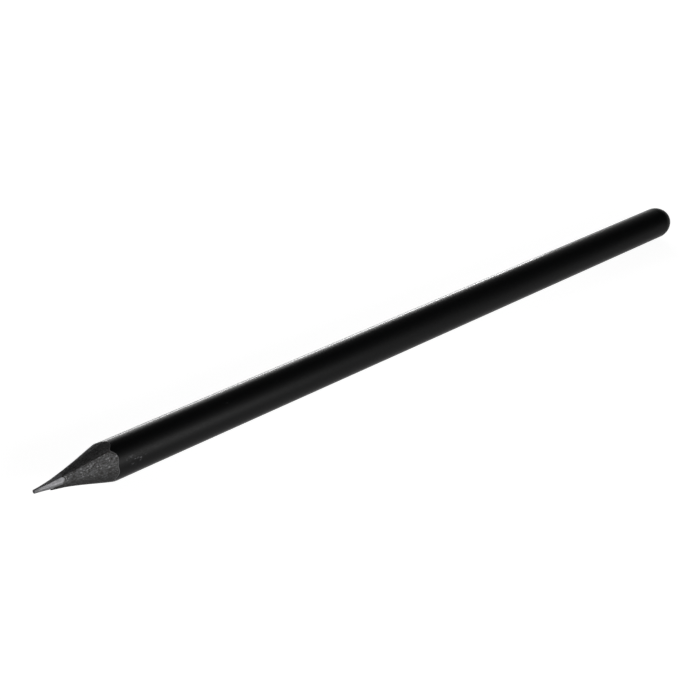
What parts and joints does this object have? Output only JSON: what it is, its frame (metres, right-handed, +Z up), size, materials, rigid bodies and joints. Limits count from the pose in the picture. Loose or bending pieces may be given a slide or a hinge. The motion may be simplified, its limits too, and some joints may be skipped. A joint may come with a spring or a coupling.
{
  "type": "wooden pencil",
  "caption": "Round wooden pencil with satin black lacquer, charcoal-dyed casing, hand-cut graphite point and rounded dipped end, for writing and drawing.",
  "frame": {"origin": "middle of the pencil's length, on the surface that it lies on", "axes": "+X along the pencil from its point to its rounded end, +Z up"},
  "size_m": [0.175, 0.0072, 0.0072],
  "materials": {
    "graphite": "burnished metallic grey",
    "dyed_wood": "bare cut wood, dyed charcoal, fine grain flecks",
    "wood_glue": "dull",
    "black_lacquer": "satin"
  },
  "bodies": {
    "root": {"graphite_lead": "graphite", "front_slat": "dyed_wood", "back_slat": "dyed_wood", "glue_film": "wood_glue", "lacquer_coat": "black_lacquer", "end_dip": "black_lacquer"}
  },
  "joints": []
}
